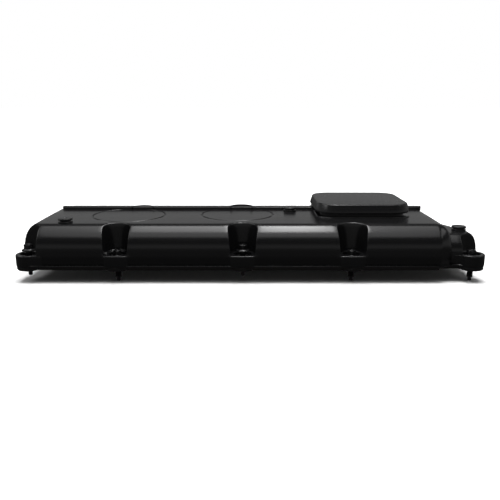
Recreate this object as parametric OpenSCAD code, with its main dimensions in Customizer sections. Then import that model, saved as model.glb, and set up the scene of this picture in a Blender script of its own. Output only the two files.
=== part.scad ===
// Camshaft cover for an inline engine: a moulded shell that carries its own screws, gasket and crankcase vent.
// Millimetres. X runs along the cover, Y from front to rear, Z up. Zero is under the middle of the cover,
// level with the tips of the screws that are pushed down.

/* [Cover] */
// Length over the corner bosses
cover_len = 469; // [460:1:480]
// Depth over the front and rear edges of the flange
cover_depth = 173; // [171:1:176]
// Height of the top plate
plate_z = 56.5; // [55.5:0.5:58]
// Height of the flange's sealing face
seal_z = 16; // [14:0.5:17]
// Thickness of the moulded walls
wall = 3; // [2.5:0.1:3.5]
// Height of the flat deck over the right end
deck_z = 46.5; // [44:0.5:48]
// Height of the rear rail's top
rail_z = 58.6; // [58:0.1:60]

/* [Screws] */
// Distance of each screw row from the cover's middle
row_y = 73.5; // [73:0.5:74.5]
// Height of the boss rims
boss_z = 28; // [27:0.5:29]
// Height of the face that a screw's flange seats on
seat_z = 25; // [24.5:0.1:25.5]
// Thread radius of the screws
thread_r = 3; // [2.9:0.05:3]
// How far the front left screw is drawn up
left_lift = 6; // [0:0.5:7]
// How far the front middle screw is drawn up
middle_lift = 5.5; // [0:0.5:7]

/* [Gasket] */
// Width of the gasket's bead
bead_w = 4.4; // [4:0.1:4.6]
// How far the gasket stands below the sealing face before it is clamped
bead_proud = 3.8; // [2:0.1:4]

/* [Vent] */
// Width of the vent lid's lower edge
lid_w = 101.5; // [98:0.5:104]
// Depth of the vent lid's lower edge
lid_d = 100; // [96:1:101]
// Height of the lid's top face
lid_z = 71; // [70:0.1:73]
// Height of the valve plate when the vent is open
valve_z = 56; // [55.5:0.1:56.5]

/* [Hidden] */
$fn = 48;

black = "#1b1b1d";
rubber_black = "#111112";
steel = "#8d9094";

// Screws: one corner boss at each end, three between them.
boss_r = 13;
boss_root_r = 16.4;
corner_x = cover_len / 2 - boss_r;
screw_x = [-corner_x, -133, -7.5, 101.5, corner_x];
screw_side = [-1, 1];
screw_lift = [left_lift, 0, middle_lift, 0, 0];
well_low = [10.2, 11.6, 12.2, 12.4, 10.2];
well_high = [12.2, 14.2, 15.3, 15.6, 12.2];
well_top = 62;
counterbore_r = 8.8;
collar = 1;
grommet_r = 6.5;
sleeve_r = 4.8;
sleeve_bore_r = 3.3;
retainer_r = 4;
retainer_z = 22;
retainer_h = 1.5;
running = 0.05;
dog_r = 2;
dog_h = 3.4;
lead_h = 1.6;
thread_top = 14.8;
shank_r = 2.7;
head_flange_r = 6.75;
head_flange_h = 1.2;
head_cone_h = 1;
head_cone_r = 4.4;
head_flats = 8;
head_h = 5.5;

// Cover body.
half_d = cover_depth / 2;
wall_end = cover_len / 2 - 4.5;
wall_foot = half_d - 2;
front_run = 21;
rear_run = 26.5;
plate_left = -213.5;
plate_right = 191;
plate_front = front_run - wall_foot;
plate_rear = wall_foot - rear_run;
shoulder_z = 32;
shoulder_run = 16;
rear_drop = 2;
step_y = plate_front + 84;
rail_rear = step_y + 11;
rail_left = -214;
rail_right = 198;
rail_sunk = 2.5;
rail_round = 5;
flange_h = 5;
lip_h = 3;
flange_in = 11;
waist_x = 194;
waist_in = 5;
deck_left = 202;
deck_front = -62;
deck_rear = 40;
nose_low = 30;
nose_run = 8.5;
nose_right = 221;
nose_end = [[230, -48], [227, -41.5], [218, -20.5], [212, -3.5], [208, 30], [208, half_d]];
nose_root = 150;

// Gasket track: its distance in from the flange's edge, and its radius round the outside of each screw.
bead_inset = 8;
bead_round = 10.4;
bead_h = 4.5;

// Round panels on the top plate, and the hoops on the rail behind them.
panel_x = [-131, -14];
panel_y = [-15.5, -10.5];
panel_r = 38.6;
panel_groove = 1.2;
panel_deep = 0.8;
hoop_x = [-122.5, -10];
hoop_z = [59, 60];
hoop_r = 12.7;
hoop_w = 1.3;

// Separator and baffle.
baffle_z = 42;
baffle_t = 2;
baffle_left = -196;
baffle_right = 80;
baffle_half = 43;
rib_t = 2.2;
rib_x = [-150, -110, -70, -30, 8, 53];
rib_short = 22;
labyrinth_gap = 0.3;
baffle_screw_x = [-190, -90, -10, 74];
baffle_screw_y = 36;
post_r = 3.6;
drain_x = 30;
drain_r = 5;

// Vent.
vent_x = 120.75;
vent_y = 12.5;
base_top = 58.5;
lid_under = 61;
lid_round = 22;
base_round = 10;
neck_in = 6;
draft = 3.4;
lid_wall = 2.5;
lid_floor = 1.8;
cup_r = 33;
cup_floor = 44;
cup_base = 42;
outlet_r = 10;
outlet_bore = 7;
outlet_top = 52;
outlet_end = 12.6;
seal_wire = 1.5;
valve_r = 15;
valve_t = 2;
bead_r = 35;
spring_r = 12.4;
spring_wire = 0.5;
spring_turns = 4;

// Trim studs: left and middle stand on the plate, right stands on the deck.
stud_r = 7.25;
stud_h = 4.4;
stud_disc = 1.3;
stud_neck_r = stud_r - 1.6;
stud_pin_r = 3;
stud_pin = 8;
stud_left = [-188, -56.5, plate_z];
stud_middle = [44.5, 11, plate_z];
stud_right = [216, -47, deck_z];

// Points along an ellipse's quarter, from angle a0 to a1.
function bend(cy, cz, ry, rz, a0, a1, n = 8) =
    [for (i = [0 : n]) let (a = a0 + (a1 - a0) * i / n) [cy + ry * cos(a), cz + rz * sin(a)]];

// Cross-section through the body, looking along X, taken in by t on every side.
function body_section(t) = concat(
    [[-half_d + t, seal_z - t]],
    bend(plate_front, shoulder_z, wall_foot + plate_front - t, plate_z - shoulder_z - t, 180, 90),
    bend(plate_rear, shoulder_z, wall_foot - plate_rear - t, plate_z - rear_drop - shoulder_z - t, 90, 0),
    [[half_d - t, seal_z - t]]);

// Outline of the body's ends, looking along Y: the left shoulder, the plate, and the slope down to the deck.
function end_outline(t) = concat(
    [[-wall_end + t, seal_z - t]],
    bend(plate_left, shoulder_z, shoulder_run - t, plate_z - shoulder_z - t, 180, 90),
    bend(plate_right, deck_z, deck_left - plate_right - t, plate_z - deck_z - t, 90, 0, 4),
    [[deck_left - t, seal_z - t]]);

// The lower nose over the right end: its cross-section and its end outline.
function nose_section(t) = concat(
    [[-half_d + waist_in + t, seal_z - t]],
    bend(deck_front, nose_low, 15 - t, deck_z - nose_low - t, 180, 90, 6),
    bend(deck_rear, nose_low, 38 - t, deck_z - nose_low - 3 - t, 90, 0, 6),
    [[half_d - waist_in - t, seal_z - t]]);
function nose_outline(t) = concat(
    [[plate_right - 12, seal_z - t], [plate_right - 12, deck_z - t]],
    bend(nose_right, nose_low, nose_run - t, deck_z - nose_low - t, 90, 0, 6),
    [[wall_end - t, seal_z - t]]);

function nose_plan(t) = concat(
    [[nose_root, half_d], [nose_root, -half_d], [wall_end - t, -half_d]],
    [for (p = nose_end) [p.x - t, p.y]]);

module along_x(x0, x1) translate([x0, 0, 0]) rotate([90, 0, 90]) linear_extrude(x1 - x0) children();
module along_y(y0, y1) translate([0, y1, 0]) rotate([90, 0, 0]) linear_extrude(y1 - y0) children();

// A rectangle from corner to corner with round corners.
module round_rect(x0, x1, y0, y1, r) {
    translate([x0 + r, y0]) square([x1 - x0 - 2 * r, y1 - y0]);
    translate([x0, y0 + r]) square([x1 - x0, y1 - y0 - 2 * r]);
    for (x = [x0 + r, x1 - r], y = [y0 + r, y1 - r]) translate([x, y]) circle(r);
}

module round_block(x0, x1, y0, y1, r, z0, z1)
    translate([0, 0, z0]) linear_extrude(z1 - z0) round_rect(x0, x1, y0, y1, r);

// Puts its children at every screw, with $i counting the screws along a row and $side the row.
module at_screws() for ($i = [0 : 4], $side = screw_side) translate([screw_x[$i], $side * row_y, 0]) children();

// Outline of the flange, with a lobe at each corner and a waist near the right end.
module flange_outline() {
    round_rect(-wall_end, waist_x, -half_d, half_d, 8);
    round_rect(waist_x - 20, wall_end, -half_d + waist_in, half_d - waist_in, 10);
    for (x = [-corner_x, corner_x], y = [-half_d + boss_r, half_d - boss_r]) translate([x, y]) circle(boss_r);
}

// Everything inside the gasket's centre line, grown by g.
module gasket_field(g) {
    gasket_side(-wall_end + bead_inset, waist_x - bead_inset, half_d - bead_inset, g);
    gasket_side(0, wall_end - bead_inset, half_d - bead_inset - waist_in, g);
    at_screws() circle(bead_round + g);
}
module gasket_side(x0, x1, y, g) translate([x0 - g, -y - g]) square([x1 - x0 + 2 * g, 2 * (y + g)]);
module gasket_band(w) difference() {
    gasket_field(w / 2);
    gasket_field(-w / 2);
}

// The well around a screw: a tapered half round, open to the outside, grown by g. Corner wells open on two sides.
module well(i, side, g) {
    low = well_low[i] + g;
    high = well_high[i] + g;
    z0 = boss_z - g;
    ends = i == 0 ? [0, -90] : i == 4 ? [0, 90] : [0];
    translate([0, 0, z0]) cylinder(h = well_top - z0, r1 = low, r2 = high);
    for (turn = ends) rotate(side < 0 ? turn : 180 - turn)
        along_y(-40, 0) polygon([[-low, z0], [low, z0], [high, well_top], [-high, well_top]]);
}

module body_solid(t, x0, x1) intersection() {
    along_x(x0, x1) polygon(body_section(t));
    along_y(-half_d, half_d) polygon(end_outline(t));
}
module nose_solid(t) intersection() {
    along_x(plate_right - 10, wall_end - t) polygon(nose_section(t));
    along_y(-half_d, half_d) polygon(nose_outline(t));
    translate([0, 0, seal_z - t]) linear_extrude(deck_z) polygon(nose_plan(t));
}

// Everything that stands inside the cover and must stay solid when it is hollowed out.
module inner_metal() {
    at_screws() translate([0, 0, seal_z]) cylinder(h = boss_z - seal_z, r = boss_root_r);
    intersection() {
        at_screws() well($i, $side, wall);
        translate([-cover_len, -cover_depth, boss_z - wall]) cube([2 * cover_len, 2 * cover_depth, 60]);
    }
    difference() {
        translate([-cover_len, -cover_depth, seal_z - 1]) cube([2 * cover_len, 2 * cover_depth, flange_h + 1]);
        round_block(flange_in - wall_end, wall_end - flange_in, flange_in - half_d, half_d - flange_in, 6, 0, 30);
    }
    baffle_posts();
    translate([vent_x, vent_y, cup_base]) cylinder(h = plate_z - cup_base, r = cup_r + wall);
    translate([vent_x, vent_y, 0]) cylinder(h = plate_z, r = outlet_r);
    stud_boss(stud_left);
    stud_boss(stud_middle);
    stud_boss(stud_right);
}

module stud_boss(p) translate([p.x, p.y, p.z - stud_pin - 2]) cylinder(h = stud_pin, r = stud_pin_r + 2.6);

// Posts under the top plate that the baffle is screwed to.
module baffle_posts() for (x = baffle_screw_x, y = [-baffle_screw_y, baffle_screw_y])
    translate([x, y, baffle_z + baffle_t]) cylinder(h = plate_z - baffle_z - baffle_t - 1, r = post_r);

// The oil separator's labyrinth: an outer frame and staggered ribs that stand on the baffle and follow the slope of
// the top plate, just below it.
module labyrinth() intersection() {
    along_x(baffle_left, baffle_right) polygon(body_section(wall + labyrinth_gap));
    translate([0, 0, baffle_z + baffle_t / 2]) linear_extrude(plate_z - baffle_z) labyrinth_plan();
}
module labyrinth_plan() {
    difference() {
        translate([baffle_left, -baffle_half]) square([baffle_right - baffle_left, 2 * baffle_half]);
        translate([baffle_left + rib_t, -baffle_half + rib_t])
            square([baffle_right - baffle_left - 2 * rib_t, 2 * (baffle_half - rib_t)]);
    }
    for (i = [0 : len(rib_x) - 1]) translate([rib_x[i], i % 2 == 0 ? -baffle_half : -baffle_half + rib_short])
        square([rib_t, 2 * baffle_half - rib_short]);
}

// The way for gas from the labyrinth into the valve's cup.
module gas_window() translate([baffle_right - 8, vent_y - 12, cup_floor + 1.5]) cube([20, 24, 6]);

// The raised rail along the rear of the plate, with two low half hoops across it.
module rear_rail() {
    round_block(rail_left, rail_right, step_y, rail_rear, rail_round, plate_z - rail_sunk, rail_z);
    for (i = [0, 1]) translate([hoop_x[i], step_y, plate_z - rail_sunk]) difference() {
        cylinder(h = hoop_z[i] - plate_z + rail_sunk, r = hoop_r);
        translate([0, 0, -1]) cylinder(h = 10, r = hoop_r - hoop_w);
        translate([-20, -20, -1]) cube([40, 20, 10]);
    }
}

module panel_grooves() intersection() {
    for (i = [0, 1]) translate([panel_x[i], panel_y[i], plate_z - panel_deep]) difference() {
        cylinder(h = 5, r = panel_r, $fn = 96);
        cylinder(h = 5, r = panel_r - panel_groove, $fn = 96);
    }
    translate([-cover_len / 2, -half_d, 0]) cube([cover_len, half_d + step_y, 100]);
}

module vent_base() {
    x0 = vent_x - lid_w / 2;
    x1 = vent_x + lid_w / 2;
    y0 = vent_y - lid_d / 2;
    y1 = vent_y + lid_d / 2 - 4;
    round_block(x0, x1, y0, y1, base_round, plate_z - 2.9, base_top);
    round_block(x0 + neck_in, x1 - neck_in, y0 + neck_in, y1 - neck_in, lid_round - neck_in, base_top, lid_under);
}

module cover_shell() color(black) difference() {
    union() {
        difference() {
            union() {
                body_solid(0, -wall_end, deck_left);
                nose_solid(0);
                rear_rail();
                translate([0, 0, seal_z]) linear_extrude(lip_h) flange_outline();
                translate([0, 0, seal_z]) linear_extrude(boss_z - seal_z) intersection() {
                    flange_outline();
                    at_screws() circle(boss_root_r);
                }
            }
            difference() {
                union() {
                    body_solid(wall, -wall_end, deck_left);
                    nose_solid(wall);
                }
                inner_metal();
            }
        }
        vent_base();
        translate([vent_x, vent_y, outlet_end]) cylinder(h = outlet_top - outlet_end, r = outlet_r);
    }
    at_screws() well($i, $side, 0);
    at_screws() {
        translate([0, 0, seal_z - 1]) cylinder(h = 20, r = grommet_r);
        translate([0, 0, seat_z - collar]) cylinder(h = 20, r = counterbore_r);
    }
    translate([0, 0, seal_z - 1]) linear_extrude(bead_h + 1) gasket_band(bead_w);
    panel_grooves();
    translate([vent_x, vent_y, 0]) {
        difference() {
            translate([0, 0, cup_floor]) cylinder(h = 40, r = cup_r);
            cylinder(h = outlet_top, r = outlet_r);
        }
        translate([0, 0, outlet_end - 1]) cylinder(h = 80, r = outlet_bore);
        translate([0, 0, lid_under - 1.5]) cylinder(h = 5, r = bead_r);
        translate([0, 0, outlet_end + 2]) difference() {
            cylinder(h = 2 * seal_wire, r = outlet_r + 5);
            cylinder(h = 2 * seal_wire, r = outlet_r - seal_wire);
        }
    }
    gas_window();
    for (x = baffle_screw_x, y = [-baffle_screw_y, baffle_screw_y]) translate([x, y, baffle_z])
        cylinder(h = 9, r = 1.5);
    stud_hole(stud_left);
    stud_hole(stud_middle);
    stud_hole(stud_right);
}

module stud_hole(p) translate([p.x, p.y, p.z - stud_pin]) cylinder(h = stud_pin + 1, r = stud_pin_r);

module perimeter_gasket() color(rubber_black) translate([0, 0, seal_z - bead_proud])
    linear_extrude(bead_h + bead_proud) gasket_band(bead_w);

module baffle_plate() color(black) difference() {
    union() {
        translate([baffle_left, -baffle_half, baffle_z])
            cube([baffle_right - baffle_left, 2 * baffle_half, baffle_t]);
        labyrinth();
    }
    gas_window();
    for (x = baffle_screw_x, y = [-baffle_screw_y, baffle_screw_y]) translate([x, y, 0]) cylinder(h = 60, r = 1.6);
    for (y = [-24 : 12 : 24]) translate([baffle_left + 12, y - 3, 0]) cube([18, 6, 60]);
    translate([drain_x, 0, 0]) cylinder(h = 60, r = drain_r);
}

module baffle_screws() color(steel)
    for (x = baffle_screw_x, y = [-baffle_screw_y, baffle_screw_y]) translate([x, y, baffle_z]) {
        translate([0, 0, -2]) cylinder(h = 2, r = 3);
        cylinder(h = 8.5, r = 1.5);
    }

// Rubber duckbill that lets separated oil drip back and closes when the engine breathes hard.
module drain_valve() color(rubber_black) translate([drain_x, 0, 0]) {
    translate([0, 0, baffle_z + baffle_t]) difference() {
        cylinder(h = 1, r = drain_r + 2);
        translate([0, 0, -1]) cylinder(h = 3, r = drain_r - 1.5);
    }
    translate([0, 0, baffle_z]) difference() {
        cylinder(h = baffle_t, r = drain_r);
        translate([0, 0, -1]) cylinder(h = 5, r = drain_r - 1.5);
    }
    translate([0, 0, baffle_z - 7]) difference() {
        cylinder(h = 7, r1 = 1.2, r2 = drain_r);
        translate([0, 0, 1.5]) cylinder(h = 6, r1 = 0.3, r2 = drain_r - 1.5);
    }
}

module outlet_seal() color(rubber_black) translate([vent_x, vent_y, outlet_end + 2 + seal_wire])
    rotate_extrude() translate([outlet_r, 0]) circle(seal_wire);

module lid_form(inset, z0, z1) hull()
    for (sx = [-1, 1], sy = [-1, 1])
        translate([vent_x + sx * (lid_w / 2 - lid_round), vent_y + sy * (lid_d / 2 - lid_round), z0])
            cylinder(h = z1 - z0, r1 = lid_round - inset, r2 = lid_round - inset - draft, $fn = 32);

// A hollow cap. Its floor rests on the vent's neck and clamps the diaphragm's bead; a stop hangs from its roof.
module vent_lid() color(black) {
    difference() {
        lid_form(0, lid_under, lid_z);
        lid_form(lid_wall, lid_under + lid_floor, lid_z - lid_wall);
        translate([vent_x, vent_y, lid_under - 1]) cylinder(h = lid_floor + 2, r = cup_r - 1);
    }
    translate([vent_x, vent_y, valve_z + valve_t + 1.1]) cylinder(h = lid_z - valve_z - valve_t - 3, r = 4);
}

// Rolling rubber disc: a bead held under the lid, a sloped web, and a flat middle on the valve plate.
module vent_diaphragm() color(rubber_black) translate([vent_x, vent_y, 0]) rotate_extrude()
    polygon([[0, valve_z + valve_t], [valve_r, valve_z + valve_t], [valve_r + 8, valve_z + valve_t + 0.6],
        [cup_r - 1, lid_under - 1.5], [bead_r, lid_under - 1.5], [bead_r, lid_under], [cup_r - 2, lid_under],
        [valve_r + 7, valve_z + valve_t + 2], [valve_r, valve_z + valve_t + 1], [0, valve_z + valve_t + 1]]);

module vent_valve_plate() color("#b9b6ac") translate([vent_x, vent_y, valve_z])
    cylinder(h = valve_t, r = valve_r);

// A compression spring swept along its helix.
function ring_point(a, b, z) = [
    (spring_r + spring_wire * cos(b)) * cos(a), (spring_r + spring_wire * cos(b)) * sin(a), z + spring_wire * sin(b)];
module vent_spring() color(steel) translate([vent_x, vent_y, cup_floor + spring_wire]) {
    sides = 8;
    rings = spring_turns * 18;
    rise = valve_z - cup_floor - 2 * spring_wire;
    points = [for (i = [0 : rings], j = [0 : sides - 1])
        ring_point(360 * spring_turns * i / rings, 360 * j / sides, rise * i / rings)];
    walls = [for (i = [0 : rings - 1], j = [0 : sides - 1])
        [i * sides + j, i * sides + (j + 1) % sides, (i + 1) * sides + (j + 1) % sides, (i + 1) * sides + j]];
    ends = [[for (j = [sides - 1 : -1 : 0]) j], [for (j = [0 : sides - 1]) rings * sides + j]];
    polyhedron(points, concat(walls, ends));
}

// Mushroom stud that a trim cover's rubber socket snaps over.
module trim_stud(p) color(black) translate(p) {
    translate([0, 0, -stud_pin + 0.5]) cylinder(h = stud_pin - 0.5, r = stud_pin_r);
    cylinder(h = stud_disc, r = stud_r);
    translate([0, 0, stud_disc]) cylinder(h = stud_disc, r = stud_neck_r);
    translate([0, 0, 2 * stud_disc]) cylinder(h = stud_h - 2 * stud_disc, r = stud_r);
}
module trim_stud_left() trim_stud(stud_left);
module trim_stud_middle() trim_stud(stud_middle);
module trim_stud_right() trim_stud(stud_right);

module screw_sleeves() color(steel) at_screws() difference() {
    translate([0, 0, seal_z]) cylinder(h = seat_z - seal_z, r = sleeve_r);
    translate([0, 0, seal_z - 1]) cylinder(h = 20, r = sleeve_bore_r);
    translate([0, 0, retainer_z]) cylinder(h = retainer_h, r = retainer_r);
}

module screw_grommets() color(rubber_black) at_screws() difference() {
    union() {
        translate([0, 0, seal_z + 0.4]) cylinder(h = seat_z - collar - seal_z - 0.4, r = grommet_r);
        translate([0, 0, seat_z - collar]) cylinder(h = collar - 0.2, r = counterbore_r - 0.2);
    }
    translate([0, 0, seal_z - 1]) cylinder(h = 20, r = sleeve_r);
}

// Rubber rings round the waisted shanks. A thread can't pass its ring, so the screws stay with the cover.
module screw_retainers() color(rubber_black) at_screws() translate([0, 0, retainer_z]) difference() {
    cylinder(h = retainer_h, r = retainer_r);
    translate([0, 0, -1]) cylinder(h = 5, r = shank_r + running);
}

// M6 flanged hexagon screw with a dog point and a waisted shank, 25 long under its flange.
module screw(i, side, lift) color(rubber_black) translate([screw_x[i], side * row_y, lift]) {
    cylinder(h = dog_h, r = dog_r);
    translate([0, 0, dog_h]) cylinder(h = lead_h, r1 = dog_r, r2 = thread_r);
    translate([0, 0, dog_h + lead_h]) cylinder(h = thread_top - dog_h - lead_h, r = thread_r);
    translate([0, 0, thread_top]) cylinder(h = seat_z - thread_top, r = shank_r);
    translate([0, 0, seat_z]) {
        cylinder(h = head_flange_h, r = head_flange_r);
        translate([0, 0, head_flange_h]) cylinder(h = head_cone_h, r1 = head_flange_r, r2 = head_cone_r);
        translate([0, 0, head_flange_h]) cylinder(h = head_h, r = head_flats / sqrt(3), $fn = 6);
    }
}
module screw_front(i) screw(i, -1, screw_lift[i]);
module screw_rear(i) screw(i, 1, 0);

cover_shell();
perimeter_gasket();
baffle_plate();
baffle_screws();
drain_valve();
outlet_seal();
vent_lid();
vent_diaphragm();
vent_valve_plate();
vent_spring();
trim_stud_left();
trim_stud_middle();
trim_stud_right();
screw_sleeves();
screw_grommets();
screw_retainers();
screw_front(0);  // screw_front_1
screw_front(1);  // screw_front_2
screw_front(2);  // screw_front_3
screw_front(3);  // screw_front_4
screw_front(4);  // screw_front_5
screw_rear(0);  // screw_rear_1
screw_rear(1);  // screw_rear_2
screw_rear(2);  // screw_rear_3
screw_rear(3);  // screw_rear_4
screw_rear(4);  // screw_rear_5
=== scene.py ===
"""Camshaft cover: black moulded shell with captive screws, rubber gasket, crankcase vent and trim studs."""
import math

import bmesh
import bpy
import numpy as np
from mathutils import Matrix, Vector
from mathutils.geometry import delaunay_2d_cdt


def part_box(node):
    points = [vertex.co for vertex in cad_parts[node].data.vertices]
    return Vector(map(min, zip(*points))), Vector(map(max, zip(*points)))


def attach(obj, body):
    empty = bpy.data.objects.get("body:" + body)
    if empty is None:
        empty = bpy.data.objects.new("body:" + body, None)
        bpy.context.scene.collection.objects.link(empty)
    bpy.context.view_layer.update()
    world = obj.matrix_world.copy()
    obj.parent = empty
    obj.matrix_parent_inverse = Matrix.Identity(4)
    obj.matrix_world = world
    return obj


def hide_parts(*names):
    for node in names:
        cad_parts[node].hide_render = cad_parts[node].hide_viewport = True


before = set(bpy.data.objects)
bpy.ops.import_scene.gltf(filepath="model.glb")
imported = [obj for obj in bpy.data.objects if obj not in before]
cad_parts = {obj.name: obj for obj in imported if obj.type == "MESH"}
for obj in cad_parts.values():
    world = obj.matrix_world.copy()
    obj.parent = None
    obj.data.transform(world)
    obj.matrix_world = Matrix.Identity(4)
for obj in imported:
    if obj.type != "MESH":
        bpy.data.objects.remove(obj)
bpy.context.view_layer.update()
MM = 0.001


# ---------------------------------------------------------------------------
# The moulded cover. A 3 mm shell of black glass-filled nylon: a flat top plate
# with round shoulders, and ten open wells that let a socket down to the screws.
# ---------------------------------------------------------------------------

def node_box(node):
    """The lowest and highest corner of a CAD node, in millimetres."""
    low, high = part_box(node)
    return np.array(low) / MM, np.array(high) / MM


shell_low, shell_high = node_box("cover_shell")
HALF_DEPTH = (shell_high[1] - shell_low[1]) / 2
SCREWS = [((node_box(f"screw_front_{i}")[0] + node_box(f"screw_front_{i}")[1]) / 2)[0] for i in range(1, 6)]
ROW = -((node_box("screw_front_2")[0] + node_box("screw_front_2")[1]) / 2)[1]
SEAL = 16.0
PLATE = 56.5
DECK = 46.5
FOOT = 17.2
SIDE = HALF_DEPTH - 2
PLATE_FRONT = -SIDE + 21
PLATE_REAR = SIDE - 26.5
SHOULDER = 32.0
REAR_DROP = 2.0
CREASE = PLATE_FRONT + 36
RAIL_FRONT = PLATE_FRONT + 84
RAIL_REAR = RAIL_FRONT + 11
PLATE_LEFT = -213.5
PLATE_RIGHT = 186.5
DECK_LEFT = 200.0
DECK_RIGHT = 221.0
WAIST = 6.0
BOSS = 13.0
BOSS_TOP = 28.0
LEDGE = 27.4
WELL_LOW = [10.4, 11.6, 12.2, 12.4, 10.4]
WELL_HIGH = [12.2, 14.2, 15.3, 15.6, 12.2]


def eased(points, radii, steps=5):
    """An open path whose corners become short parabolic arcs that start one radius before the corner."""
    points = np.asarray(points, float)
    radii = np.broadcast_to(radii, len(points))
    out = [points[:1]]
    t = np.linspace(0, 1, steps + 1)[:, None]
    for before, here, after, r in zip(points[:-2], points[1:-1], points[2:], radii[1:-1]):
        back, ahead = before - here, after - here
        r_back = min(r, 0.49 * np.linalg.norm(back))
        r_ahead = min(r, 0.49 * np.linalg.norm(ahead))
        start = here + back / np.linalg.norm(back) * r_back
        end = here + ahead / np.linalg.norm(ahead) * r_ahead
        out.append((1 - t) ** 2 * start + 2 * t * (1 - t) * here + t ** 2 * end if r > 0 else here[None])
    return np.vstack(out + [points[-1:]])


def ring_path(points, radii, steps=5):
    """A closed path with its corners eased; the first point isn't repeated."""
    points = np.asarray(points, float)
    radii = np.broadcast_to(radii, len(points))
    middle = (points[-1] + points[0]) / 2
    path = eased(np.vstack([middle, points, middle]), np.concatenate([[0], radii, [0]]), steps)
    return path[:-1]


def arc(cx, cy, r, a0, a1, n):
    """Points on a circle about (cx, cy) from angle a0 to a1 in degrees."""
    a = np.radians(np.linspace(a0, a1, n))
    return np.stack([cx + r * np.cos(a), cy + r * np.sin(a)], -1)


def grid(points, closed=False):
    """Quads between neighbouring points of an (n, m, 3) array; closed joins the last row to the first."""
    n, m = points.shape[:2]
    i = np.arange(n if closed else n - 1)[:, None]
    j = np.arange(m - 1)[None, :]
    a = i * m + j
    b = (i + 1) % n * m + j
    return points.reshape(-1, 3), np.stack([a, b, b + 1, a + 1], -1).reshape(-1, 4).tolist()


def lathe(profile, cx=0.0, cy=0.0, steps=48):
    """A profile of (radius, height) turned about a vertical axis at (cx, cy)."""
    profile = np.asarray(profile, float)
    a = np.linspace(0, 2 * np.pi, steps, endpoint=False)[:, None]
    r, z = profile[:, 0][None], profile[:, 1][None]
    return grid(np.stack([cx + r * np.cos(a), cy + r * np.sin(a), z + 0 * a], -1), closed=True)


def outward(path):
    """Unit vectors square to a closed anticlockwise path, pointing out of it."""
    along = np.roll(path, -1, 0) - np.roll(path, 1, 0)
    along /= np.maximum(np.linalg.norm(along, axis=1, keepdims=True), 1e-9)
    return np.stack([along[:, 1], -along[:, 0]], -1)


def slab(path, profile):
    """A closed anticlockwise outline carried up a profile of (inset, height), with a flat face at each end."""
    side = outward(path)
    rings = [np.column_stack([path - inset * side, np.full(len(path), z)]) for inset, z in profile]
    points, faces = grid(np.stack(rings, 1), closed=True)
    m = len(profile)
    faces.append(list(range(0, len(path) * m, m))[::-1])
    faces.append(list(range(m - 1, len(path) * m, m)))
    return points, faces


def soft_edge(z0, z1, low, high, steps=4):
    """A slab's profile of (inset, height) with a quarter round of radius low below and high above."""
    a = np.linspace(0, np.pi / 2, steps + 1)
    below = np.stack([low * (1 - np.sin(a)), z0 + low * (1 - np.cos(a))], -1)
    above = np.stack([high * (1 - np.cos(a)), z1 - high * (1 - np.sin(a))], -1)
    return np.vstack([below, above])


def piece(name, parts, body="cover", replaced=(), angle=35, recalc=True):
    """One object from (points in millimetres, faces) pairs: doubles merged, smooth, sharp past an angle."""
    points, faces, start = [], [], 0
    for part_points, part_faces in parts:
        points.append(part_points)
        faces += [[v + start for v in face] for face in part_faces]
        start += len(part_points)
    mesh = bpy.data.meshes.new(name)
    mesh.from_pydata((np.vstack(points) * MM).tolist(), [], faces)
    work = bmesh.new()
    work.from_mesh(mesh)
    bmesh.ops.remove_doubles(work, verts=work.verts, dist=0.000008)
    bmesh.ops.dissolve_degenerate(work, edges=work.edges, dist=0.000002)
    if recalc:
        bmesh.ops.recalc_face_normals(work, faces=work.faces)
    work.to_mesh(mesh)
    work.free()
    mesh.shade_smooth()
    mesh.set_sharp_from_angle(angle=math.radians(angle))
    obj = bpy.data.objects.new(name, mesh)
    bpy.context.collection.objects.link(obj)
    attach(obj, body)
    if replaced:
        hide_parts(*replaced)
    return obj


# Lines across the cover, from the front foot to the rear foot: the place, and the drop below the plate there.
turn = np.linspace(0, np.pi / 2, 15)
front_y = np.concatenate([[-SIDE - 0.7, -SIDE - 0.35], PLATE_FRONT - 21 * np.cos(turn)])
front_drop = np.concatenate([[PLATE - FOOT, PLATE - BOSS_TOP], (PLATE - SHOULDER) * (1 - np.sin(turn))])
flat_y = np.concatenate([np.linspace(PLATE_FRONT, CREASE, 8)[1:], np.linspace(CREASE, RAIL_REAR - 4, 12)[1:],
                         np.linspace(RAIL_REAR - 2, PLATE_REAR, 6)])
flat_drop = np.interp(flat_y, [PLATE_FRONT, CREASE, RAIL_REAR - 4, RAIL_REAR - 2], [0, -0.15, 0, REAR_DROP])
rear_y = np.concatenate([PLATE_REAR + 26.5 * np.sin(turn)[1:], [SIDE + 0.35, SIDE + 0.7]])
rear_drop = np.concatenate([REAR_DROP + (PLATE - REAR_DROP - SHOULDER) * (1 - np.cos(turn))[1:],
                            [PLATE - BOSS_TOP, PLATE - FOOT]])
line_y = np.concatenate([front_y, flat_y, rear_y])
line_drop = np.concatenate([front_drop, flat_drop, rear_drop])
line_v = np.concatenate([[0], np.cumsum(np.hypot(np.diff(line_y), np.diff(line_drop)))])

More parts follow.
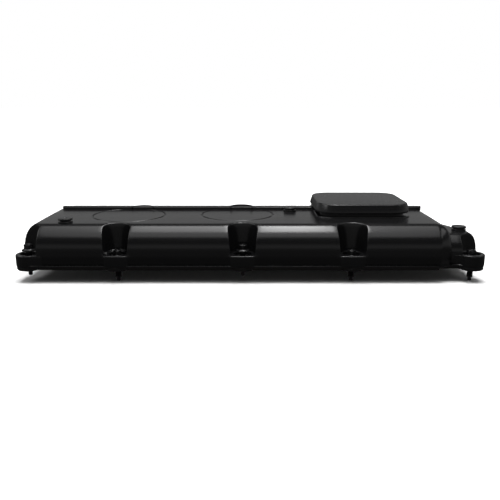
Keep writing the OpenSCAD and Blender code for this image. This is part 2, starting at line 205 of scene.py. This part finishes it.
# Lines along the cover: the place, the height of the plate or deck there, and the drop round the ends.
left_x = np.concatenate([[-230.3, -229.9], PLATE_LEFT - 16 * np.cos(turn)])
left_drop = np.concatenate([[PLATE - FOOT, PLATE - BOSS_TOP], (PLATE - SHOULDER) * (1 - np.sin(turn))])
top_x = np.linspace(PLATE_LEFT, PLATE_RIGHT, 104)[1:]
slope_x = PLATE_RIGHT + (DECK_LEFT - PLATE_RIGHT) * np.sin(turn)[1:]
slope_top = DECK + (PLATE - DECK) * np.cos(turn)[1:]
deck_x = np.linspace(DECK_LEFT, DECK_RIGHT, 8)[1:]
right_x = np.concatenate([DECK_RIGHT + 8.5 * np.sin(turn)[1:], [229.9, 230.2]])
right_drop = np.concatenate([(DECK - 30) * (1 - np.cos(turn))[1:], [DECK - BOSS_TOP, DECK - FOOT]])
line_x = np.concatenate([left_x, top_x, slope_x, deck_x, right_x])
line_top = np.concatenate([np.full(len(left_x) + len(top_x), PLATE), slope_top,
                           np.full(len(deck_x) + len(right_x), DECK)])
line_end = np.concatenate([left_drop, np.zeros(len(top_x) + len(slope_x) + len(deck_x)), right_drop])
line_u = np.concatenate([[0], np.cumsum(np.hypot(np.diff(line_x), np.diff(line_top - line_end)))])


def skin(u, v):
    """The outer surface. Its height over the foot is the plate's, times the share left by the end's drop, times
    the share left by the side's drop. The front wall steps back at the waist, and the right end tapers to the
    rear, never by more than the deck is long, so the surface doesn't fold."""
    x = np.interp(u, line_u, line_x)
    top = np.interp(u, line_u, line_top)
    y = np.interp(v, line_v, line_y)
    drop = np.interp(v, line_v, line_drop)
    reach = top - FOOT
    z = FOOT + reach * (1 - np.interp(u, line_u, line_end) / reach) * (1 - drop / (PLATE - FOOT))
    back = WAIST * np.clip((x - 188) / 12, 0, 1) * np.clip((PLATE_FRONT - y) / 21, 0, 1)
    taper = np.interp(y, [-48, -41.5, -20.5, -3.5, 25], [0, 3, 12, 17, 19])
    x = x - taper * np.clip((x - DECK_LEFT) / (DECK_RIGHT - DECK_LEFT), 0, 1)
    return np.stack([x, y + back, z], -1)


def u_at(x):
    """The line along the cover that passes a place on the untapered part."""
    return np.interp(x, line_x, line_u)


def v_at(x, y):
    """The line across the cover that passes a place, allowing for the waist."""
    back = WAIST * np.clip((x - 188) / 12, 0, 1)
    level = np.where(y < PLATE_FRONT, np.maximum((y * 21 - back * PLATE_FRONT) / (21 - back), -SIDE), y)
    return np.interp(level, line_y, line_v)


V_LEDGE = [np.interp(-SIDE - 0.35, line_y, line_v), np.interp(SIDE + 0.35, line_y, line_v)]
U_LEDGE = np.interp(-229.9, line_x, line_u)
U_LEDGE_RIGHT = np.interp(229.9, line_x, line_u)
RIM = 1.3


def well(i, side):
    """The edge of the skin round a well, in the skin's own lines, and the wall, rim and floor inside it.
    Each edge point runs from the skin over a rounded rim, down the tapered wall, and in to the boss."""
    cx, cy = SCREWS[i], side * ROW
    low, high = WELL_LOW[i], WELL_HIGH[i]
    end = -1 if i == 0 else 1 if i == 4 else 0
    v_row = v_at(np.array(cx), np.array(cy))
    v_low = V_LEDGE[0] if side < 0 else V_LEDGE[1]
    t = np.linspace(0, 1, 15)
    straight_v = v_low + (v_row - v_low) * t
    n_arc = 25 if end == 0 else 13
    inner = -end
    # Each row: which way the edge faces in x and in y, and its line where that is fixed.
    if end == 0:
        angle = np.linspace(180, 0, n_arc)[1:-1]
        dx = np.concatenate([np.full(15, -1.0), np.cos(np.radians(angle)), np.full(15, 1.0)])
        dy = np.concatenate([np.zeros(15), np.sin(np.radians(angle)), np.zeros(15)])
        fixed_v = np.concatenate([straight_v, np.full(n_arc - 2, np.nan), straight_v[::-1]])
        fixed_u = np.full(len(dx), np.nan)
    else:
        angle = np.linspace(0, 90, n_arc)[1:-1]
        u_low = U_LEDGE if end < 0 else U_LEDGE_RIGHT
        straight_u = u_at(cx) + (u_low - u_at(cx)) * t
        dx = np.concatenate([np.full(15, float(inner)), inner * np.cos(np.radians(angle)), np.zeros(15)])
        dy = np.concatenate([np.zeros(15), np.sin(np.radians(angle)), np.ones(15)])
        fixed_v = np.concatenate([straight_v, np.full(n_arc - 2 + 15, np.nan)])
        fixed_u = np.concatenate([np.full(15 + n_arc - 2, np.nan), straight_u])
    dy = dy * -side

    def on_skin(radius):
        x = cx + radius * dx
        y = cy + radius * dy
        u = np.where(np.isnan(fixed_u), u_at(x), fixed_u)
        v = np.where(np.isnan(fixed_v), v_at(x, y), fixed_v)
        return u, v, skin(u, v)

    height = np.full(len(dx), 50.0)
    for _ in range(4):
        radius = low + (high - low) * (height - BOSS_TOP) / 34
        height = on_skin(radius)[2][:, 2]
    corner = on_skin(radius)[2]
    depth = np.maximum(height - LEDGE, 0)
    rim = np.minimum(RIM, 0.35 * depth)
    u, v, edge = on_skin(radius + rim)
    foot_x, foot_y = corner[:, 0] - cx - radius * dx, corner[:, 1] - cy - radius * dy

    def wall(z):
        r = low + (high - low) * (z - BOSS_TOP) / 34
        return np.stack([cx + r * dx + foot_x, cy + r * dy + foot_y, z], -1)

    top = wall(height - rim)
    rows = [(1 - s) ** 2 * edge + 2 * s * (1 - s) * corner + s ** 2 * top for s in np.linspace(0, 1, 6)]
    toe = np.minimum(1.5, 0.4 * depth)
    rows += [wall(height - rim + (LEDGE + toe - height + rim) * s) for s in np.linspace(0, 1, 9)[1:]]
    base = wall(np.full(len(dx), LEDGE))
    reach = np.hypot(base[:, 0] - cx, base[:, 1] - cy)[:, None]
    centre = np.array([cx, cy, LEDGE])
    toe_end = base + (centre - base) / reach * toe[:, None]
    rows += [(1 - s) ** 2 * rows[-1] + 2 * s * (1 - s) * base + s ** 2 * toe_end
             for s in np.linspace(0, 1, 5)[1:]]
    hub = centre + (base - centre) / reach * 10.6
    rows.append(hub)
    walls = grid(np.stack(rows, 1))

    # The hole in the skin: the edge, then a slot behind the boss that is out of sight.
    slot = 6.0
    v_foot = 0.0 if side < 0 else line_v[-1]
    if end == 0:
        back = [(u_at(cx + slot), v_low), (u_at(cx + slot), v_foot),
                (u_at(cx - slot), v_foot), (u_at(cx - slot), v_low)]
    else:
        u_foot = 0.0 if end < 0 else line_u[-1]
        v_side = v_at(np.array(cx), np.array(cy + slot * -side))
        back = [(u_low, v_side), (u_foot, v_side), (u_foot, v_foot), (u_at(cx + 4 * inner), v_foot),
                (u_at(cx + 4 * inner), v_low)]
    hole = np.vstack([np.stack([u, v], -1), back])
    return hole, walls


wells = [(i, side) for i in range(5) for side in (-1, 1) if (i, side) != (4, 1)]
holes, well_walls = zip(*[well(i, side) for i, side in wells])

# Grooves round the two flat panels, and the seat of each groove in the skin.
PANELS = [(-131.0, -15.5), (-14.0, -10.5)]
PANEL_RADIUS = 38.6


def inside(points, polygon):
    """Whether each point lies in a polygon: an odd number of its edges cross the ray to the point's right."""
    x, y = points[:, 0][:, None], points[:, 1][:, None]
    x0, y0 = polygon[:, 0][None], polygon[:, 1][None]
    x1, y1 = np.roll(polygon, -1, 0)[:, 0][None], np.roll(polygon, -1, 0)[:, 1][None]
    rises = (y0 > y) != (y1 > y)
    with np.errstate(divide="ignore", invalid="ignore"):
        cross = x < (x1 - x0) * (y - y0) / (y1 - y0) + x0
    return (rises & cross).sum(1) % 2 == 1


def ring_lines(panel, radius, steps=96):
    """A circle on the plate, given in the skin's own lines."""
    circle = arc(panel[0], panel[1], radius, 0, 360, steps + 1)[:-1]
    return np.stack([u_at(circle[:, 0]), v_at(circle[:, 0], circle[:, 1])], -1)


def groove(panel):
    """A groove turned round a panel, 2.2 wide and 0.9 deep with a round floor. It stops at the rail."""
    offset = np.linspace(-1.3, 1.3, 13)
    depth = 0.9 * np.cos(np.clip(offset / 1.1, -1, 1) * np.pi / 2) ** 1.2
    a = np.linspace(0, 2 * np.pi, 192, endpoint=False)[:, None]
    r = PANEL_RADIUS - offset[None, ::-1]
    x, y = panel[0] + r * np.cos(a), panel[1] + r * np.sin(a)
    level = skin(u_at(x.ravel()), v_at(x.ravel(), y.ravel()))[:, 2].reshape(x.shape)
    z = level - depth[None] * (y < RAIL_FRONT)
    return grid(np.stack([x, y, z], -1), closed=True)


def skin_mesh():
    """The skin between its holes: its own lines give the points, which are joined to the hole edges."""
    grid_u, grid_v = np.meshgrid(np.unique(line_u), np.unique(line_v), indexing="ij")
    points = np.stack([grid_u.ravel(), grid_v.ravel()], -1)
    rings = [ring_lines(p, PANEL_RADIUS + d, 192) for p in PANELS for d in (-1.3, 1.3)]
    keep = np.ones(len(points), bool)
    for hole in holes:
        keep &= ~inside(points, hole)
    for loop in list(holes) + rings:
        apart = points[:, None] - loop[None]
        keep &= np.min(np.hypot(apart[..., 0], apart[..., 1]), 1) > 0.9
    for outer, inner in zip(rings[1::2], rings[0::2]):
        keep &= ~(inside(points, outer) & ~inside(points, inner))
    points = points[keep]
    start = len(points)
    all_points, edges = [points], []
    for loop in list(holes) + rings:
        n = len(loop)
        edges += [(start + k, start + (k + 1) % n) for k in range(n)]
        all_points.append(loop)
        start += n
    flat = np.vstack(all_points)
    out_points, _, out_faces, _, _, _ = delaunay_2d_cdt([Vector(p) for p in flat], edges, [], 0, 1e-5)
    out = np.array([p[:] for p in out_points])
    faces = np.array(out_faces)
    middle = out[faces].mean(1)
    shown = np.ones(len(faces), bool)
    for hole in holes:
        shown &= ~inside(middle, hole)
    for outer, inner in zip(rings[1::2], rings[0::2]):
        shown &= ~(inside(middle, outer) & ~inside(middle, inner))
    return skin(out[:, 0], out[:, 1]), faces[shown].tolist()


cover_skin = piece("cover_skin", [skin_mesh()] + list(well_walls) + [groove(p) for p in PANELS], angle=50)
thicken = cover_skin.modifiers.new("wall", "SOLIDIFY")
thicken.thickness = 2.6 * MM
thicken.offset = -1
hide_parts("cover_shell")


def boss(i, side):
    """A screw boss: rings of points from the bore over the counterbore and the rounded rim, and down outside.
    A corner boss is round. The others have a flat front as wide as their well: a superellipse of power seven."""
    cx, cy = SCREWS[i], side * ROW
    a = np.linspace(0, 2 * np.pi, 96, endpoint=False)[:, None]
    c, s = np.abs(np.cos(a)), np.maximum(np.sin(a) * side, 0)
    wide = WELL_LOW[i] + 1.0
    if i in (0, 4):
        outer = np.full_like(a, BOSS)
    else:
        outer = np.where(s > 0, ((c / wide) ** 7 + (s / (BOSS - 0.1)) ** 7) ** (-1 / 7), wide)
    bore = eased([(6.5, 16), (6.5, 24), (8.8, 24), (8.8, BOSS_TOP), (10, BOSS_TOP)], [0, 0.2, 0.3, 0.9, 0])
    skirt = eased([(2, BOSS_TOP), (0, BOSS_TOP), (0, 16.2), (2, 16.2)], [0, 1.4, 3.0, 0])
    r = np.hstack([np.repeat(bore[None, :, 0], 96, 0), outer - skirt[None, :, 0], np.full((96, 1), 6.5)])
    z = np.concatenate([bore[:, 1], skirt[:, 1], [16]])[None]
    return grid(np.stack([cx + r * np.cos(a), cy + r * np.sin(a), z + 0 * r], -1), closed=True)


# The flange stands out all round the foot of the shell, with a round lobe at each corner.
lobe = BOSS - 0.2
lobes = [arc(SCREWS[0], -ROW, lobe, 180 - 8, 270, 14), arc(SCREWS[4], -ROW, lobe, 217, 360 + 49, 26),
         arc(SCREWS[4], ROW, lobe, -49, 143, 26), arc(SCREWS[0], ROW, lobe, 90, 180 + 8, 14)]
wall_y = HALF_DEPTH - 1.2
waist_y = wall_y - WAIST
front_foot = np.array([[-214, -wall_y], [187, -wall_y], [197, -waist_y], [206, -waist_y]])
outline = ring_path(np.vstack([lobes[0], front_foot, lobes[1], [[230.2, 0]], lobes[2], front_foot[::-1] * [1, -1],
                               lobes[3], [[-230.4, 50], [-230.4, -50]]]), 1.0, 2)
flange_side = outward(outline)
FLANGE_TOP = 18.4
FLANGE_WIDE = 4.6
flange_rows = [(0.4, SEAL), (0, SEAL + 0.4), (0, FLANGE_TOP - 0.6), (0.6, FLANGE_TOP), (FLANGE_WIDE, FLANGE_TOP),
               (FLANGE_WIDE, SEAL), (0.4, SEAL)]
flange = grid(np.stack([np.column_stack([outline - inset * flange_side, np.full(len(outline), z)])
                        for inset, z in flange_rows], 1), closed=True)


def block(x0, x1, y0, y1, z0, z1):
    """A plain block between two corners."""
    return slab(np.array([(x0, y0), (x1, y0), (x1, y1), (x0, y1)], float), [(0, z0), (0, z1)])


# The seal's seat inside the flange's edge, in lengths between the bosses.
seat_y = (ROW + 1, HALF_DEPTH - 5.4)
seat_x = [(SCREWS[k] + 9, SCREWS[k + 1] - 9) for k in range(3)] + [(SCREWS[3] + 9, 188)]
strips = [block(x0, x1, *seat, SEAL + 0.1, FLANGE_TOP - 0.1)
          for x0, x1 in seat_x for seat in (seat_y, (-seat_y[1], -seat_y[0]))]
strips += [block(x0, x0 + 6.5, -64, 64, SEAL + 0.1, FLANGE_TOP - 0.1) for x0 in (-226, 219.5)]

# Webs that tie the corner bosses to the body, each kept clear of its bore.
WEB_LEFT = np.array([(-217, -85.2), (-205, -85.2), (-205, -60), (-212.5, -60), (-212.5, -75), (-217, -81.9)])
WEB_RIGHT = np.array([(203, -79), (208, -79.4), (213.5, -82.8), (212.3, -72), (212.3, -60), (203, -60)])
# The shelf at the right end, where the deck tapers away from the flange.
SHELF = np.array([(228, -52), (229, -45), (229, 64), (209.3, 64), (209.3, 20), (210.5, -3.5), (216, -22),
                  (225, -43)])
shelf = slab(SHELF, [(0, SEAL + 0.2), (0, FLANGE_TOP + 0.2)])
webs = [slab(web if side < 0 else web[::-1] * [1, -1], soft_edge(SEAL, LEDGE, 0.2, 0.2))
        for web in (WEB_LEFT, WEB_RIGHT) for side in (-1, 1)]

# The raised rail along the rear of the plate, and two low half hoops that cross it behind the panels.
rail_path = ring_path([(-216.5, RAIL_REAR), (-215.5, RAIL_FRONT + 4), (-211, RAIL_FRONT),
                       (190, RAIL_FRONT), (196, RAIL_FRONT + 4), (197.5, RAIL_REAR)], [4, 3, 3, 3, 3, 4], 4)
RAIL_TOP = 59.3
rear_rail = slab(rail_path, soft_edge(PLATE - 2, RAIL_TOP, 0.1, 0.7))
hoops = [slab(np.vstack([arc(x, RAIL_FRONT, 12.7, 0, 180, 31), arc(x, RAIL_FRONT, 11.4, 180, 0, 31)]),
              soft_edge(PLATE - 1, RAIL_TOP + over, 0.1, 0.3)) for x, over in ((-122.5, 0.4), (-10, 1.3))]

vent_low, vent_high = node_box("vent_lid")
vent = (vent_low + vent_high) / 2


def round_rect(half_x, half_y, r, steps=12):
    """A rectangle about the vent with round corners, anticlockwise."""
    cx, cy = half_x - r, half_y - r
    return np.vstack([arc(vent[0] + sx * cx, vent[1] + sy * cy, r, a, a + 90, steps)
                      for sx, sy, a in ((1, 1, 0), (-1, 1, 90), (-1, -1, 180), (1, -1, 270))])


HALF_LID = (vent_high - vent_low) / 2
pedestal = slab(round_rect(HALF_LID[0] - 1, HALF_LID[1] - 2, 14), soft_edge(PLATE - 2, 57.6, 0.1, 0.8))
neck = slab(round_rect(HALF_LID[0] - 6, HALF_LID[1] - 6, 17), [(0, 57), (0, 62)])
bosses = [boss(i, side) for i in range(5) for side in (-1, 1)]

# Under the plate: the vent's cup with its outlet tube, and the posts that the baffle is screwed to.
cup = [(36, 55), (36, 42), (10, 42), (10, 17.6), (8.5, 17.6), (8.5, 14.6), (10, 14.6), (10, 12.6), (7, 12.6),
       (7, 52), (10, 52), (10, 44), (33, 44), (33, 55), (36, 55)]
under = [lathe(cup, vent[0], vent[1], 72)]
under += [lathe([(0, 44), (3.6, 44), (3.6, 55), (0, 55)], x, y, 24)
          for x in (-190, -90, -10, 74) for y in (-36, 36)]
cover_details = piece("cover_bosses_and_rail",
                      [flange, rear_rail, pedestal, neck, shelf] + strips + webs + hoops + bosses + under)


def linear(code):
    """An sRGB hex colour as linear red, green, blue and full alpha."""
    values = [int(code[k:k + 2], 16) / 255 for k in (1, 3, 5)]
    return [v / 12.92 if v <= 0.04045 else ((v + 0.055) / 1.055) ** 2.4 for v in values] + [1.0]


def add(tree, kind, links=None, **settings):
    """Adds a node; settings name its properties or inputs, and links say which output feeds an input."""
    node = tree.nodes.new(kind)
    for name, value in settings.items():
        if hasattr(node, name):
            setattr(node, name, value)
        else:
            node.inputs[name.replace("_", " ")].default_value = value
    for name, output in (links or {}).items():
        tree.links.new(output, node.inputs[name])
    return node


def plastic(name, dark, light, roughness, grain, bump):
    """A satin moulding: a slow drift between two close colours, a fine grain in the roughness, a soft bump."""
    material = bpy.data.materials.new(name)
    material.use_nodes = True
    tree = material.node_tree
    shader = tree.nodes["Principled BSDF"]
    place = add(tree, "ShaderNodeTexCoord")
    drift = add(tree, "ShaderNodeTexNoise", {"Vector": place.outputs["Object"]}, Scale=18.0, Detail=3.0)
    colour = add(tree, "ShaderNodeMix", {"Factor": drift.outputs["Fac"]}, data_type="RGBA")
    colour.inputs["A"].default_value = linear(dark)
    colour.inputs["B"].default_value = linear(light)
    fine = add(tree, "ShaderNodeTexNoise", {"Vector": place.outputs["Object"]}, Scale=1000 / grain, Detail=2.0)
    spread = add(tree, "ShaderNodeMapRange", {"Value": fine.outputs["Fac"]})
    spread.inputs["To Min"].default_value = roughness - 0.04
    spread.inputs["To Max"].default_value = roughness + 0.04
    relief = add(tree, "ShaderNodeBump", {"Height": fine.outputs["Fac"]}, Strength=bump, Distance=0.0001)
    tree.links.new(colour.outputs["Result"], shader.inputs["Base Color"])
    tree.links.new(spread.outputs["Result"], shader.inputs["Roughness"])
    tree.links.new(relief.outputs["Normal"], shader.inputs["Normal"])
    shader.inputs["IOR"].default_value = 1.5
    return material


# Moulded nylon: a smooth satin skin that shows soft, clear reflections with a faint texture.
nylon = plastic("black_glass_filled_nylon", "#111112", "#161617", 0.22, 0.6, 0.12)
for obj in (cover_skin, cover_details):
    obj.data.materials.append(nylon)


# ---------------------------------------------------------------------------
# The vent lid. A crowned square cap of black nylon, snapped over the vent's
# neck, with a crisp top edge and a straight skirt that drafts out downwards.
# ---------------------------------------------------------------------------
LID_TOP = vent_high[2]
rows = [(9, 61.2), (7, 61.0), (2.4, 61.0), (1.2, 61.1), (0.4, 61.5), (0.15, 62.2), (0.3, 63.2), (1.3, 66.5),
        (2.5, LID_TOP - 1.2), (2.7, LID_TOP - 0.7), (3.1, LID_TOP - 0.4), (3.8, LID_TOP - 0.28),
        (5.0, LID_TOP - 0.24)]


def lid_ring(inset, z, corner=22.0):
    path = round_rect(HALF_LID[0] - inset, HALF_LID[1] - inset, max(corner - inset, 1.0), 14)
    return np.column_stack([path, np.full(len(path), z)])


lid_rows = [lid_ring(*row) for row in rows]
rim_ring = lid_rows[-1]
for t in np.linspace(0, 1, 12)[1:]:
    ring = rim_ring.copy()
    ring[:, :2] = vent[:2] + (rim_ring[:, :2] - vent[:2]) * (1 - t)
    ring[:, 2] = LID_TOP - 0.24 * (1 - t) ** 2
    lid_rows.append(ring)
floor_ring = lid_rows[0].copy()
floor_ring[:, :2] = vent[:2]
lid = piece("vent_lid_cap", [grid(np.stack([floor_ring] + lid_rows, 1), closed=True)],
            replaced=["vent_lid"], angle=60)
lid_nylon = plastic("black_lid_nylon", "#111112", "#161617", 0.26, 0.5, 0.12)
lid.data.materials.append(lid_nylon)


# ---------------------------------------------------------------------------
# Trim studs. Three grooved nylon discs that a trim cover's rubber sockets snap
# over, pressed into blind holes in the plate and the deck.
# ---------------------------------------------------------------------------
stud_nylon = plastic("black_stud_nylon", "#121213", "#181819", 0.28, 0.4, 0.1)
for name in ("left", "middle", "right"):
    low, high = node_box(f"trim_stud_{name}")
    cx, cy, top = (low[0] + high[0]) / 2, (low[1] + high[1]) / 2, high[2]
    profile = [(0, top - 11.5), (3, top - 11.5), (3, top - 4.4), (7.25, top - 4.4), (7.25, top - 3.1), (5.6, top - 3.1),
               (5.6, top - 1.8), (7.25, top - 1.8), (7.25, top), (2.4, top), (2.0, top - 0.5), (0, top - 0.5)]
    turned = lathe(eased(profile, [0, 0.6, 0.3, 0.3, 0.3, 0.3, 0.3, 0.3, 0.7, 0.3, 0.3, 0], 4), cx, cy, 48)
    stud = piece(f"trim_disc_{name}", [turned], replaced=[f"trim_stud_{name}"], angle=50)
    stud.data.materials.append(stud_nylon)


# ---------------------------------------------------------------------------
# The screws. M6 by 25 flanged hexagon screws of black coated steel, rolled
# thread, dog point, held in the cover by a rubber ring.
# ---------------------------------------------------------------------------
def flanged_screw(cx, cy, lift):
    """Rings of points up the axis. The shank's radius follows a one millimetre pitch helix, and the head's rings
    are the smaller of a hexagon and a circle."""
    a = np.linspace(0, 2 * np.pi, 48, endpoint=False)[:, None]
    z = np.linspace(4.0, 14.8, 73)[None]
    phase = (z - a / (2 * np.pi)) % 1.0
    fade = np.clip((z - 4.0) / 1.5, 0, 1) * np.clip((14.8 - z) / 1.5, 0, 1)
    shank = 2.97 - 0.55 * fade * np.abs(2 * phase - 1) ** 1.3
    tip = [(0, 0), (1.6, 0), (2.0, 0.4), (2.0, 3.2), (2.97, 4.0)]
    hexagon = 4.0 / np.cos((a + np.pi / 6) % (np.pi / 3) - np.pi / 6)
    head = [(2.97, 14.9), (2.65, 15.2), (2.65, 24.98), (6.2, 24.98), (6.7, 25.2), (6.75, 25.7), (6.5, 26.15),
            (5.0, 26.7), (4.75, 27.0)]
    cap = [(4.62, 27.2), (4.62, 30.8), (4.2, 31.45), (3.6, 31.7), (1.5, 31.7), (1.3, 31.45), (0, 31.4)]
    radius = np.hstack([np.full((48, 1), r) for r, _ in tip] + [shank]
                       + [np.full((48, 1), r) for r, _ in head] + [np.minimum(hexagon, r) for r, _ in cap])
    height = np.concatenate([[h for _, h in tip], z[0], [h for _, h in head + cap]])[None] + lift
    return grid(np.stack([cx + radius * np.cos(a), cy + radius * np.sin(a), height + 0 * radius], -1), closed=True)


screw_steel = plastic("black_coated_steel", "#0f0f10", "#151516", 0.24, 0.3, 0.1)
for row in ("front", "rear"):
    for i in range(1, 6):
        low, high = node_box(f"screw_{row}_{i}")
        middle = (low + high) / 2
        screw = piece(f"flanged_screw_{row}_{i}", [flanged_screw(middle[0], middle[1], low[2])],
                      body=f"{row}_screw_{i}", replaced=[f"screw_{row}_{i}"], angle=32)
        screw.data.materials.append(screw_steel)


# ---------------------------------------------------------------------------
# The gasket. One loop of black acrylic rubber pressed into a groove under the
# flange; its round bead passes outside every screw.
# ---------------------------------------------------------------------------
def gasket_path():
    """The bead's centre line: straight runs eight millimetres in from the edge, and an arc outside each screw."""
    track, reach = HALF_DEPTH - 8, 10.4
    half = math.degrees(math.asin((track - ROW) / reach))
    points = [arc(SCREWS[0], -ROW, reach, 95, 360 - half, 26)]
    points += [arc(x, -ROW, reach, 180 + half, 360 - half, 16) for x in SCREWS[1:4]]
    points += [[[187, -track], [187, -track + WAIST]], arc(SCREWS[4], -ROW, reach, 175, 445, 30)]
    front = np.vstack(points)
    return np.vstack([front, front[::-1] * [1, -1]])


bead_low = node_box("perimeter_gasket")[0][2]
centre_line = ring_path(gasket_path(), 0.8, 2)
side_way = outward(centre_line)
across = np.array([(-2.1, 20), (-2.1, bead_low + 1.2), (-1.6, bead_low + 0.3), (-0.7, bead_low), (0.7, bead_low),
                   (1.6, bead_low + 0.3), (2.1, bead_low + 1.2), (2.1, 20), (-2.1, 20)])
bead = np.stack([np.column_stack([centre_line + offset * side_way, np.full(len(centre_line), z)])
                 for offset, z in across], 1)
gasket = piece("gasket_bead", [grid(bead, closed=True)], replaced=["perimeter_gasket"],
               angle=60)
rubber = plastic("black_acrylic_rubber", "#141414", "#1b1b1b", 0.55, 0.4, 0.2)
gasket.data.materials.append(rubber)


# ---------------------------------------------------------------------------
# The pieces inside: baffle, its screws, drain valve, vent parts, sleeves,
# grommets and rings. Their CAD shapes stay and get their own finishes.
# ---------------------------------------------------------------------------
def finish_node(name, material):
    """Puts a material on every slot of a CAD node."""
    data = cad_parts[name].data
    if not data.materials:
        data.materials.append(material)
    for k in range(len(data.materials)):
        data.materials[k] = material


def metal(name, dark, light, roughness, grain):
    """Plated or drawn steel: a faint mottle in colour and roughness."""
    material = plastic(name, dark, light, roughness, grain, 0.05)
    material.node_tree.nodes["Principled BSDF"].inputs["Metallic"].default_value = 1.0
    return material


zinc = metal("zinc_plated_steel", "#a9acb0", "#b9bcc0", 0.32, 0.8)
spring_wire = metal("drawn_stainless_wire", "#b4b2ae", "#c4c2be", 0.25, 0.3)
acetal = plastic("natural_acetal", "#c9c4b6", "#d4cfc2", 0.35, 0.6, 0.05)
valve_rubber = plastic("black_fluorosilicone", "#161617", "#1d1d1e", 0.5, 0.4, 0.1)
for names, material in ((("baffle_plate",), nylon), (("baffle_screws", "screw_sleeves"), zinc),
                        (("screw_grommets", "screw_retainers"), rubber),
                        (("drain_valve", "outlet_seal", "vent_diaphragm"), valve_rubber),
                        (("vent_spring",), spring_wire), (("vent_valve_plate",), acetal)):
    for name in names:
        finish_node(name, material)


# ---------------------------------------------------------------------------
# The studio: a pale paper floor with a light of its own, softboxes overhead and
# at both sides, a sky that is dark behind the cover, and the camera.
# ---------------------------------------------------------------------------
bpy.ops.mesh.primitive_plane_add(size=60, location=(0, 0, 0))
floor = bpy.context.object
floor.name = "studio_floor"
paper = bpy.data.materials.new("white_paper")
paper.use_nodes = True
tree = paper.node_tree
shader = tree.nodes["Principled BSDF"]
shader.inputs["Base Color"].default_value = (0.7, 0.7, 0.7, 1)
shader.inputs["Roughness"].default_value = 0.9
place = add(tree, "ShaderNodeTexCoord")
length = add(tree, "ShaderNodeVectorMath", {0: place.outputs["Object"]}, operation="LENGTH")
far = add(tree, "ShaderNodeMapRange", {"Value": length.outputs["Value"]}, interpolation_type="SMOOTHSTEP")
far.inputs["From Min"].default_value = 0.35
far.inputs["From Max"].default_value = 0.8
shader.inputs["Emission Color"].default_value = (1, 1, 1, 1)
tree.links.new(far.outputs["Result"], shader.inputs["Emission Strength"])
floor.data.materials.append(paper)
floor.visible_glossy = False
floor.visible_diffuse = False


def softbox(name, width, depth, radiance, place, tilt=(0, 0, 0)):
    """A rectangular light that faces down before it is tilted; its power gives the brightness seen in it."""
    light = bpy.data.lights.new(name, "AREA")
    light.shape = "RECTANGLE"
    light.size, light.size_y = width, depth
    light.energy = radiance * math.pi * width * depth
    holder = bpy.data.objects.new(name, light)
    holder.location = place
    holder.rotation_euler = [math.radians(angle) for angle in tilt]
    bpy.context.collection.objects.link(holder)
    return holder


softbox("overhead_softbox", 1.25, 1.55, 1.2, (-0.02, -0.15, 1.06))
softbox("overhead_left", 0.36, 0.85, 2.2, (-0.16, 0.15, 1.0))
softbox("overhead_core", 0.2, 0.85, 10.0, (0.12, 0.15, 1.0))
softbox("left_softbox", 0.35, 0.9, 3.0, (-0.95, -0.1, 0.75), (0, -52, 0))
softbox("right_softbox", 0.35, 0.9, 1.0, (0.95, -0.1, 0.75), (0, 52, 0))
paper_light = softbox("paper_light", 1.3, 1.0, 7.5, (0, 0.05, 1.2))
only_paper = bpy.data.collections.new("only_paper")
only_paper.objects.link(floor)
paper_light.light_linking.receiver_collection = only_paper

world = bpy.data.worlds.new("studio")
bpy.context.scene.world = world
world.use_nodes = True
tree = world.node_tree
tree.nodes.clear()
path_node = add(tree, "ShaderNodeLightPath")
place = add(tree, "ShaderNodeTexCoord")
split = add(tree, "ShaderNodeSeparateXYZ", {0: place.outputs["Generated"]})
height_node = add(tree, "ShaderNodeValToRGB", {"Fac": split.outputs["Z"]})
stops = height_node.color_ramp.elements
stops[0].position, stops[1].position = 0.0, 0.02
stops[0].color, stops[1].color = (0.06, 0.06, 0.06, 1), (0.3, 0.3, 0.3, 1)
for place_up, level in ((0.22, 0.3), (0.34, 0.05), (1.0, 0.05)):
    stops.new(place_up).color = (level, level, level, 1)
seen = add(tree, "ShaderNodeBackground", Strength=1.0)
seen.inputs["Color"].default_value = (1, 1, 1, 1)
unseen = add(tree, "ShaderNodeBackground", {"Color": height_node.outputs["Color"]}, Strength=1.0)
both = add(tree, "ShaderNodeMixShader", {"Fac": path_node.outputs["Is Camera Ray"], 1: unseen.outputs[0],
                                         2: seen.outputs[0]})
add(tree, "ShaderNodeOutputWorld", {"Surface": both.outputs[0]})

camera = bpy.data.cameras.new("camera")
camera.sensor_width = 36
camera.lens = 43.2
view = bpy.data.objects.new("camera", camera)
view.location = (-0.00025, -0.6567, 0.1725)
view.rotation_euler = (math.radians(90 - 13.59), 0, 0)
bpy.context.collection.objects.link(view)
bpy.context.scene.camera = view
bpy.context.scene.view_settings.view_transform = "Standard"
